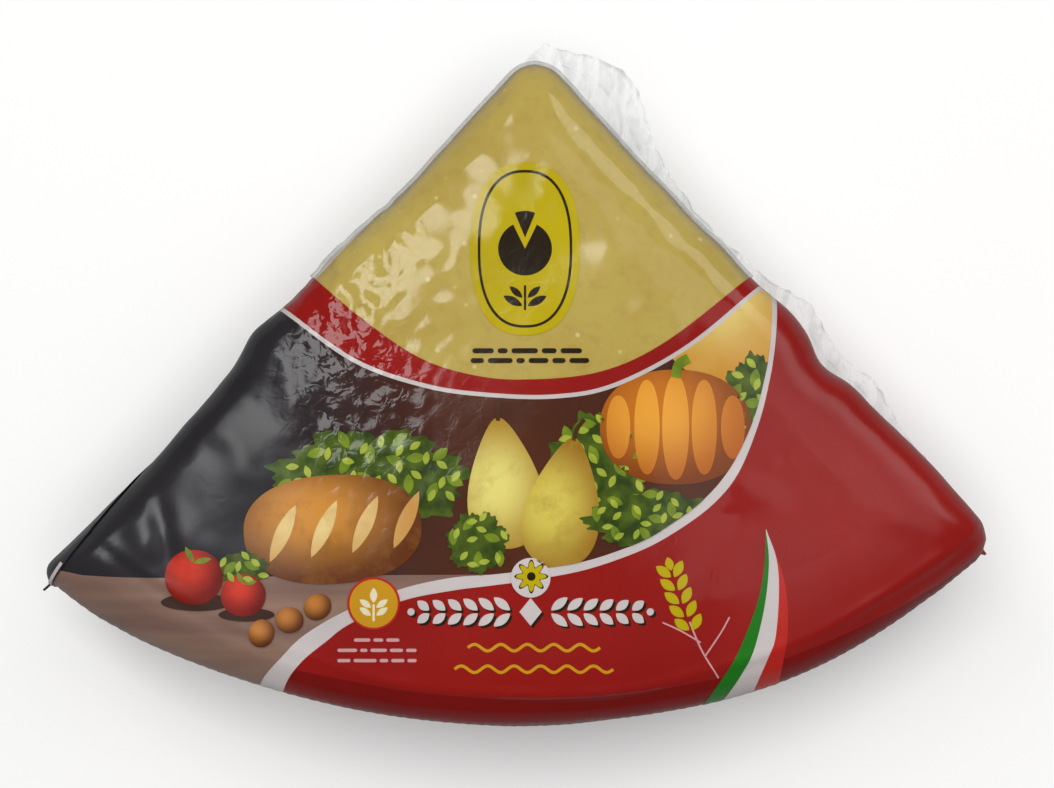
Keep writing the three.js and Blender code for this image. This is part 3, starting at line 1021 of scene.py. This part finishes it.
def make_ear(name, shape, finish):
    """A small flap of film that runs on past its corner to a point."""
    root, point, top, height, lean = shape
    run = np.array(point) - root
    aside = np.array([-run[1], run[0]]) / np.hypot(*run)

    def place(u, v):
        away = (lean * (v - 0.5) + 0.4 * np.sin(6 * u + 2 * v)) * (1 - u)
        flat = np.array(root) + np.outer(u, run) + np.outer(away, aside)
        z = top - 5 * u - (1 - v) * (height * (1 - u) ** 0.9 + 1.5)
        return np.column_stack([flat, z])

    finish_piece(thin_plate(name, 30, 20, place, EAR_THICKNESS), finish, "printed_film", sharp=60)


def make_seal(shift, group):
    """The clear seal that stands off the right side."""
    seal = thin_plate("seal_film", 460, 18, seal_place(shift), FIN_SHEET_THICKNESS)
    finish_piece(seal, seal_finish(group), "clear_film", sharp=80)


def make_loose_film(body, shift, group):
    """Clear film that stands off the cheese round the window's edge and over the tip."""
    loose = layer_over(body, "loose_film", LOOSE_GAP, CLEAR_THICKNESS)
    trim(loose, [[*line_through(BAND_TOP), (FAR, FAR), (-FAR, FAR)]], "INTERSECT", low=LOOSE_LOW)
    flat = np.array(sector_outline(LOOSE_RIM, LOOSE_RIM)) + shift[:2]
    trim(loose, [[tuple(point) for point in flat]], "DIFFERENCE")
    finish_piece(loose, clear_finish("loose_clear", group, 0.02, 0.3), "clear_film")


# ---- finishes


def srgb(red, green, blue):
    """The shader's linear numbers of a colour as a screen shows it, 0 to 255."""
    shares = [value / 255 for value in (red, green, blue)]
    linear = [s / 12.92 if s <= 0.04045 else ((s + 0.055) / 1.055) ** 2.4 for s in shares]
    return (*linear, 1)


def add(tree, kind, links=None, **settings):
    """Adds a node with its settings, and sets or links its inputs by name or number."""
    made = tree.nodes.new(kind)
    for name, value in settings.items():
        setattr(made, name, value)
    for name, value in (links or {}).items():
        if isinstance(value, bpy.types.NodeSocket):
            tree.links.new(value, made.inputs[name])
        else:
            made.inputs[name].default_value = value
    return made


def place_on_pack(tree):
    return add(tree, "ShaderNodeTexCoord").outputs["Object"]


def soft_noise(tree, place, scale, **more):
    return add(tree, "ShaderNodeTexNoise", {"Vector": place, "Scale": scale, **more}).outputs["Fac"]


def maths(tree, operation, *values):
    return add(tree, "ShaderNodeMath", dict(enumerate(values)), operation=operation).outputs[0]


def ramp(tree, value, low=0, high=1, start=0, end=1, curve="LINEAR"):
    """A number taken from one range to another, and kept within it."""
    given = {"Value": value, "From Min": low, "From Max": high, "To Min": start, "To Max": end}
    return add(tree, "ShaderNodeMapRange", given, interpolation_type=curve).outputs[0]


def reach_from(tree, place, middle, radii):
    """How far out a place is from a middle, both in millimetres, in shares of the radii."""
    middle = tuple(c * MM for c in (*middle, 0))
    shares = (1 / radii[0] / MM, 1 / radii[1] / MM, 0)
    away = add(tree, "ShaderNodeVectorMath", {0: place, 1: middle}, operation="SUBTRACT").outputs[0]
    away = add(tree, "ShaderNodeVectorMath", {0: away, 1: shares}, operation="MULTIPLY").outputs[0]
    return add(tree, "ShaderNodeVectorMath", {0: away}, operation="LENGTH").outputs["Value"]


CREASE_SIZE = 4.5
CREASE_DEPTH = 0.35
PATCH_OUTSIDE = 0.12  # how strong the creases are outside the wrinkled patch
MATT_FROM, MATT_TO = 0.055, 0.085  # where the film turns less glossy towards its sides, in metres
MATT_MORE = 0.15


def film_skin_group():
    """Heights of the film's fine creases, its gloss and the small changes of its shade."""
    group = bpy.data.node_groups.new("film_skin", "ShaderNodeTree")
    for socket in ("Height", "Gloss", "Shade"):
        group.interface.new_socket(socket, in_out="OUTPUT", socket_type="NodeSocketFloat")
    out = group.nodes.new("NodeGroupOutput").inputs
    place = place_on_pack(group)
    from_patch = reach_from(group, place, PATCH_MIDDLE, PATCH_REACH)
    patch = ramp(group, from_patch, 1.5, 0.5, PATCH_OUTSIDE, 1, curve="SMOOTHSTEP")
    creases = soft_noise(group, place, 1 / CREASE_SIZE / MM, Detail=2, Roughness=0.45, Distortion=0.6)
    ridge = maths(group, "ABSOLUTE", maths(group, "SUBTRACT", creases, 0.5))
    group.links.new(maths(group, "MULTIPLY", ridge, patch), out["Height"])
    gloss = ramp(group, soft_noise(group, place, 60, Detail=3), 0.3, 0.7, 0.07, 0.12)
    across = add(group, "ShaderNodeSeparateXYZ", {0: place}).outputs["X"]
    aside = maths(group, "ABSOLUTE", across)
    matt = ramp(group, aside, MATT_FROM, MATT_TO, 0, MATT_MORE, curve="SMOOTHSTEP")
    group.links.new(maths(group, "ADD", gloss, matt), out["Gloss"])
    shade = ramp(group, soft_noise(group, place, 25, Detail=4, Roughness=0.6), 0.3, 0.7)
    group.links.new(shade, out["Shade"])
    return group


def new_material(name):
    material = bpy.data.materials.new(name)
    material.use_nodes = True
    return material, material.node_tree, material.node_tree.nodes["Principled BSDF"]


def put_skin(tree, shader, group):
    """Gives a shader the film's creases and gloss, and returns the group's node."""
    skin = add(tree, "ShaderNodeGroup", node_tree=group)
    relief = {"Height": skin.outputs["Height"], "Strength": 1, "Distance": CREASE_DEPTH * MM}
    tree.links.new(add(tree, "ShaderNodeBump", relief).outputs[0], shader.inputs["Normal"])
    tree.links.new(skin.outputs["Gloss"], shader.inputs["Roughness"])
    return skin


def blend_colours(tree, share, first, second):
    mix = add(tree, "ShaderNodeMix", data_type="RGBA")
    for socket, value in ((0, share), (6, first), (7, second)):
        if isinstance(value, bpy.types.NodeSocket):
            tree.links.new(value, mix.inputs[socket])
        else:
            mix.inputs[socket].default_value = value
    return mix.outputs[2]


def ink(name, group, colour, second=None, shine=0.5):
    """Printed film in one colour, which shifts a little towards a second over the pack."""
    material, tree, shader = new_material(name)
    shader.inputs["Specular IOR Level"].default_value = shine
    skin = put_skin(tree, shader, group)
    second = second or tuple(c * 0.82 for c in colour[:3]) + (1,)
    tree.links.new(blend_colours(tree, skin.outputs["Shade"], colour, second), shader.inputs["Base Color"])
    return material


def picture_ink(group):
    """Charcoal at the left, dark brown towards the middle."""
    material, tree, shader = new_material("picture_dark")
    shade = put_skin(tree, shader, group).outputs["Shade"]
    across = add(tree, "ShaderNodeSeparateXYZ", {0: place_on_pack(tree)}).outputs["X"]
    share = ramp(tree, across, -0.08, -0.01, curve="SMOOTHSTEP")
    charcoal = blend_colours(tree, shade, srgb(42, 40, 44), srgb(32, 30, 34))
    brown = blend_colours(tree, shade, srgb(84, 42, 24), srgb(66, 32, 20))
    tree.links.new(blend_colours(tree, share, charcoal, brown), shader.inputs["Base Color"])
    return material


def table_ink(group):
    """Pale greyish-brown wood with long soft streaks."""
    material, tree, shader = new_material("picture_table")
    put_skin(tree, shader, group)
    stretched = {"Vector": place_on_pack(tree), "Rotation": (0, 0, 0.25), "Scale": (12, 110, 12)}
    grain = add(tree, "ShaderNodeMapping", stretched).outputs[0]
    share = ramp(tree, soft_noise(tree, grain, 1, Detail=4), 0.35, 0.65)
    colour = blend_colours(tree, share, srgb(122, 94, 84), srgb(146, 116, 98))
    tree.links.new(colour, shader.inputs["Base Color"])
    return material


def cheese_finish(group):
    """Pale straw cheese with fine deeper crumbs and a few pale grains, under clinging clear film."""
    material, tree, shader = new_material("pressed_cheese")
    put_skin(tree, shader, group)
    place = place_on_pack(tree)
    mottle = ramp(tree, soft_noise(tree, place, 45, Detail=5, Roughness=0.6), 0.35, 0.65)
    colour = blend_colours(tree, mottle, srgb(177, 152, 60), srgb(184, 161, 70))
    crumb = ramp(tree, soft_noise(tree, place, 240, Detail=4, Roughness=0.7), 0.5, 0.75, 0, 0.5)
    colour = blend_colours(tree, crumb, colour, srgb(158, 130, 42))
    away = add(tree, "ShaderNodeTexVoronoi", {"Vector": place, "Scale": 130}).outputs["Distance"]
    colour = blend_colours(tree, ramp(tree, away, 0.12, 0.06), colour, srgb(204, 186, 116))
    tree.links.new(colour, shader.inputs["Base Color"])
    shader.inputs["Specular IOR Level"].default_value = 0.15
    shader.inputs["Coat Weight"].default_value = 1
    shader.inputs["Coat Roughness"].default_value = 0.08
    return material


def round_ink(name, group, centre, radii, light, dark, mottle=0):
    """Printed film shaded as a round thing that is lit from its upper left."""
    material, tree, shader = new_material(name)
    put_skin(tree, shader, group)
    place = place_on_pack(tree)
    lit = (centre[0] - 0.22 * radii[0], centre[1] + 0.28 * radii[1])
    share = ramp(tree, reach_from(tree, place, lit, radii), 0.1, 1.25, curve="SMOOTHSTEP")
    colour = blend_colours(tree, share, light, dark)
    if mottle:
        spots = ramp(tree, soft_noise(tree, place, mottle, Detail=4, Roughness=0.65), 0.48, 0.72, 0, 0.7)
        middle = tuple(0.62 * a + 0.3 * b for a, b in zip(dark[:3], light[:3])) + (1,)
        colour = blend_colours(tree, spots, colour, middle)
    tree.links.new(colour, shader.inputs["Base Color"])
    return material


def leaf_ink(name, group, first, second):
    """Green that changes from leaf to leaf."""
    material, tree, shader = new_material(name)
    put_skin(tree, shader, group)
    share = ramp(tree, soft_noise(tree, place_on_pack(tree), 190, Detail=2), 0.35, 0.65)
    tree.links.new(blend_colours(tree, share, first, second), shader.inputs["Base Color"])
    return material


WELD_AT = 0.62  # shares of the seal's width
SEAL_EDGE = (0.93, 0.97)


def seal_finish(group):
    """Clear crinkled film with pale streaks of painted highlight and grey streaks of painted shade, and a
    whiter line along its edge and its weld.
    """
    material, tree, shader = new_material("seal_clear")
    put_skin(tree, shader, group)
    places = add(tree, "ShaderNodeTexCoord").outputs
    stretched = {"Vector": places["Object"], "Rotation": (0, 0, math.radians(40)), "Scale": (260, 90, 60)}
    grain = add(tree, "ShaderNodeMapping", stretched).outputs[0]
    # the pale streaks are painted highlight on the crinkles and the grey ones painted shade
    streaks = soft_noise(tree, grain, 1, Detail=3, Distortion=0.8)
    colour = blend_colours(tree, ramp(tree, streaks, 0.4, 0.62), srgb(188, 191, 190), srgb(252, 252, 250))
    tree.links.new(colour, shader.inputs["Base Color"])
    out = add(tree, "ShaderNodeSeparateXYZ", {0: places["UV"]}).outputs["Y"]
    edge = ramp(tree, out, *SEAL_EDGE, 0, 0.2)
    from_weld = maths(tree, "ABSOLUTE", maths(tree, "SUBTRACT", out, WELD_AT))
    weld = ramp(tree, from_weld, 0.04, 0, 0, 0.12)
    # the grey painted-shade streaks are made the less clear ones
    shade_streak_alpha = ramp(tree, streaks, 0.35, 0.7, 0.18, 0.04)
    alpha = maths(tree, "ADD", maths(tree, "ADD", edge, weld), shade_streak_alpha)
    tree.links.new(alpha, shader.inputs["Alpha"])
    return material


def clear_finish(name, group, facing_alpha, grazing_alpha, tint=(0.93, 0.93, 0.92, 1)):
    """Clear film, whiter where it is seen edge on, partly as painted reflection and partly for its longer
    path through the film.
    """
    material, tree, shader = new_material(name)
    put_skin(tree, shader, group)
    shader.inputs["Base Color"].default_value = tint
    facing = add(tree, "ShaderNodeLayerWeight", {"Blend": 0.5}).outputs["Facing"]
    tree.links.new(ramp(tree, facing, 0, 1, facing_alpha, grazing_alpha), shader.inputs["Alpha"])
    return material


# ---- the scene

CAMERA_TARGET = (1.9, -3.4, 55)
CAMERA_DISTANCE = 1226
CAMERA_ELEVATION = math.radians(86)
SENSOR_WIDTH = 36
LENS = 132.2


def set_camera():
    back = Vector((0, -math.cos(CAMERA_ELEVATION), math.sin(CAMERA_ELEVATION)))
    place = (Vector(CAMERA_TARGET) + back * CAMERA_DISTANCE) * MM
    bpy.ops.object.camera_add(location=place, rotation=(math.pi / 2 - CAMERA_ELEVATION, 0, 0))
    camera = bpy.context.object
    camera.data.sensor_width = SENSOR_WIDTH
    camera.data.lens = LENS
    camera.data.clip_start = 0.01
    bpy.context.scene.camera = camera


def area_light(name, place, turn, size, power):
    """A light that shines straight down from a rectangle."""
    bpy.ops.object.light_add(type="AREA", location=place, rotation=(0, 0, math.radians(turn)))
    light = bpy.context.object
    light.name = name
    light.data.shape = "RECTANGLE"
    light.data.size, light.data.size_y = size
    light.data.energy = power
    return light


FLOOR_GLOW = 0.54
FLOOR_SHADOW = 0.03  # how far out the painted shadow, the dimmed glow round the pack, reaches, in metres
FLOOR_MIRRORED = 0.3  # how bright the floor is in the pack's own reflections
FLOOR_TONES = ((0.46, 0.46, 0.455, 1), (0.475, 0.475, 0.465, 1))
FLOOR_ROUGHNESS = 0.8
WORLD_DIM = 0.12
WORLD_SEEN = 0.9  # how bright the camera sees the world past the floor
BROAD_PLACE = (0, 0.06, 1.6)
BROAD_SIZE = (1.2, 1.2)
BROAD_POWER = 16.5
PANEL_HEIGHT = 1.1
# the reflected panels: place, turn in degrees, length and width in metres, and power in watts
PANELS = {
    "left_panel": ((-0.40, 0.39), -43, (0.88, 0.30), 3.3),
    "right_panel": ((0.44, 0.18), 0, (0.64, 0.56), 0.65),
    "far_right_panel": ((1.06, 0.86), 0, (1.0, 1.2), 6.0),
}


def set_floor():
    """A plain pale floor that glows a little, with the glow dimmed close to the pack as a painted shadow."""
    bpy.ops.mesh.primitive_plane_add(size=6)
    floor = bpy.context.object
    floor.name = "pale_floor"
    material, tree, shader = new_material("pale_floor")
    colour = blend_colours(tree, soft_noise(tree, place_on_pack(tree), 3), *FLOOR_TONES)
    mirrored = add(tree, "ShaderNodeLightPath").outputs["Is Glossy Ray"]
    dim = (FLOOR_MIRRORED, FLOOR_MIRRORED, FLOOR_MIRRORED, 1)
    tree.links.new(blend_colours(tree, mirrored, colour, dim), shader.inputs["Base Color"])
    # ambient occlusion dims the glow near the pack: a painted contact shadow
    painted_shadow_share = add(tree, "ShaderNodeAmbientOcclusion", {"Distance": FLOOR_SHADOW}).outputs["AO"]
    glow = maths(tree, "MULTIPLY", ramp(tree, mirrored, 0, 1, FLOOR_GLOW, 0), painted_shadow_share)
    tree.links.new(glow, shader.inputs["Emission Strength"])
    shader.inputs["Emission Color"].default_value = (1, 1, 1, 1)
    shader.inputs["Roughness"].default_value = FLOOR_ROUGHNESS
    floor.data.materials.append(material)


def set_lights():
    """A broad soft light from above that no surface mirrors, and panels that the film mirrors."""
    broad = area_light("broad_light", BROAD_PLACE, 0, BROAD_SIZE, BROAD_POWER)
    broad.visible_glossy = False
    for name, (place, turn, size, power) in PANELS.items():
        area_light(name, (*place, PANEL_HEIGHT), turn, size, power)
    world = bpy.data.worlds.new("studio")
    world.use_nodes = True
    tree = world.node_tree
    seen = add(tree, "ShaderNodeLightPath").outputs["Is Camera Ray"]
    strength = ramp(tree, seen, 0, 1, WORLD_DIM, WORLD_SEEN)
    tree.links.new(strength, tree.nodes["Background"].inputs["Strength"])
    tree.nodes["Background"].inputs["Color"].default_value = (1, 1, 1, 1)
    bpy.context.scene.world = world
    bpy.context.scene.view_settings.view_transform = "Standard"


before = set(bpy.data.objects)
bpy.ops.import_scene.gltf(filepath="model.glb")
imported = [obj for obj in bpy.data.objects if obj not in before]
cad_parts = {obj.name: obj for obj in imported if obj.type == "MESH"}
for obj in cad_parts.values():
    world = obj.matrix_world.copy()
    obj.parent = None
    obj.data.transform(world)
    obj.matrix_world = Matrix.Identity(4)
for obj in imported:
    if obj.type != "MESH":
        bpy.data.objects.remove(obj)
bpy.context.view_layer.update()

set_camera()
set_floor()
set_lights()
rings = wedge_rings()
settled = [settle(ring) for ring in rings]
shift = frame_shift(settled)
body = filled_body(settled, shift)
crease_film(body, shift)
film_skin = film_skin_group()

cheese = copy_of(body, "cheese")
place_points(cheese, points_of(body) - normals_of(body) * CHEESE_INSET * MM)
finish_piece(cheese, cheese_finish(film_skin), "cheese")
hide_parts("wedge_pack")

film = layer_over(body, "film", -FILM_THICKNESS, FILM_THICKNESS)
fields = print_fields(film)
red = ink("red_ink", film_skin, srgb(148, 20, 14), srgb(137, 18, 14))
white = ink("white_ink", film_skin, srgb(205, 196, 194))
# the rind strip's darker red is painted shade: the same red film, darkened for the light the steep
# turned-down face loses
shaded_rind_red = ink("rind_painted_shade_ink", film_skin, srgb(126, 17, 14), srgb(114, 15, 13), shine=0.3)
finishes = {
    "window_film": (clear_finish("window_clear", film_skin, 0.02, 0.05, (0.9, 0.86, 0.7, 1)), "clear_film"),
    "red_band": (red, "printed_film"),
    "white_line": (white, "printed_film"),
    "underside_film": (red, "printed_film"),
    "picture_field": (picture_ink(film_skin), "printed_film"),
    "table_field": (table_ink(film_skin), "printed_film"),
    "white_swoosh": (white, "printed_film"),
    "red_field": (red, "printed_film"),
    "rind_field": (shaded_rind_red, "printed_film"),
}
for name, field in fields.items():
    finish_piece(field, *finishes[name])
    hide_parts("wedge_pack")

inks = {
    "yellow": ink("yellow_ink", film_skin, srgb(189, 168, 0)),
    "gold": ink("gold_ink", film_skin, srgb(205, 150, 22)),
    "dark": ink("dark_ink", film_skin, srgb(38, 27, 12)),
    "green": ink("green_ink", film_skin, srgb(28, 118, 22)),
    "white": white,
    "bright_red": ink("bright_red_ink", film_skin, srgb(188, 34, 24)),
    "cream": ink("cream_ink", film_skin, srgb(236, 226, 190)),
    "pale_pink": ink("pale_pink_ink", film_skin, srgb(212, 160, 160)),
}
# the outlines that the print's shapes of each zone lie within
zones = {
    "window": [(-22, -2), (26, -2), (26, 68), (-22, 68)],
    "lower": [(-62, -98), (70, -98), (70, -52), (-62, -52)],
    "picture": [(-114, -100), (-50, -84), (82, -60), (86, 60), (-30, 6), (-114, -20)],
}
layers = InkLayers(body, zones)
print_label(layers, inks)
print_still_life(body, layers, film_skin)
print_ribbon(body, inks)
print_badge(layers, inks)
print_emblem(layers, inks)
print_sprig(layers, inks)
print_garland(layers, inks)
print_scrolls(layers, inks)
layers.close()

make_seal(shift, film_skin)
make_loose_film(body, shift, film_skin)
fold_ink = ink("fold_ink", film_skin, srgb(44, 42, 45))
make_fold(body, fold_ink, white)
make_ear("left_ear", LEFT_EAR, fold_ink)
make_ear("right_ear", RIGHT_EAR, ink("ear_ink", film_skin, srgb(176, 62, 58), srgb(160, 44, 42)))
remove(body)
